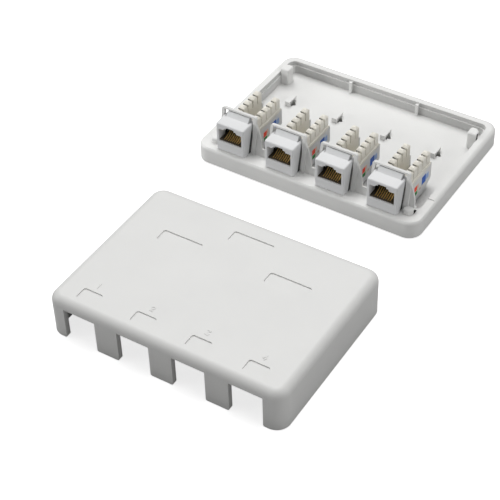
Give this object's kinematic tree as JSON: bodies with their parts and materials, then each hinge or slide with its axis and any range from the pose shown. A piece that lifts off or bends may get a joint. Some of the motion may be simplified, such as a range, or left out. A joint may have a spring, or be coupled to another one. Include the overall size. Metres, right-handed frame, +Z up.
{
  "type": "surface mount jack box",
  "caption": "Flat white tray with a row of snap-in data jacks, punch-down terminal blocks behind, and its lift-off cover laid in front of it.",
  "frame": {"origin": "centre of the base tray's outline, on its flat underside", "axes": "+Z up from the surface that the tray stands on, -Y the way the ports look, +X to the right seen from the ports"},
  "size_m": [0.1194, 0.2033, 0.0266],
  "materials": {
    "box_plastic": "fine moulded satin, off-white",
    "housing_plastic": "fine moulded satin, cool white",
    "carrier_plastic": "smooth black",
    "contact_gold": "gold-plated spring wire",
    "block_plastic": "fine moulded satin, cream",
    "blade_metal": "tinned sheet",
    "board_laminate": "printed board",
    "sticker_paper": "printed paper"
  },
  "bodies": {
    "base": {"base_tray": "box_plastic", "jack_housing_1": "housing_plastic", "contact_carrier_1": "carrier_plastic", "contacts_1": "contact_gold", "terminal_block_1": "block_plastic", "blades_1": "blade_metal", "circuit_board_1": "board_laminate", "sticker_left_1": "sticker_paper", "sticker_right_1": "sticker_paper", "jack_housing_2": "housing_plastic", "contact_carrier_2": "carrier_plastic", "contacts_2": "contact_gold", "terminal_block_2": "block_plastic", "blades_2": "blade_metal", "circuit_board_2": "board_laminate", "sticker_left_2": "sticker_paper", "sticker_right_2": "sticker_paper", "jack_housing_3": "housing_plastic", "contact_carrier_3": "carrier_plastic", "contacts_3": "contact_gold", "terminal_block_3": "block_plastic", "blades_3": "blade_metal", "circuit_board_3": "board_laminate", "sticker_left_3": "sticker_paper", "sticker_right_3": "sticker_paper", "jack_housing_4": "housing_plastic", "contact_carrier_4": "carrier_plastic", "contacts_4": "contact_gold", "terminal_block_4": "block_plastic", "blades_4": "blade_metal", "circuit_board_4": "board_laminate", "sticker_left_4": "sticker_paper", "sticker_right_4": "sticker_paper"},
    "cover": {"cover": "box_plastic"}
  },
  "joints": [
    {"name": "cover_lift", "type": "slide", "parent": "base", "child": "cover", "axis": [0, 0, 1], "range_m": [0, 0.04]}
  ]
}
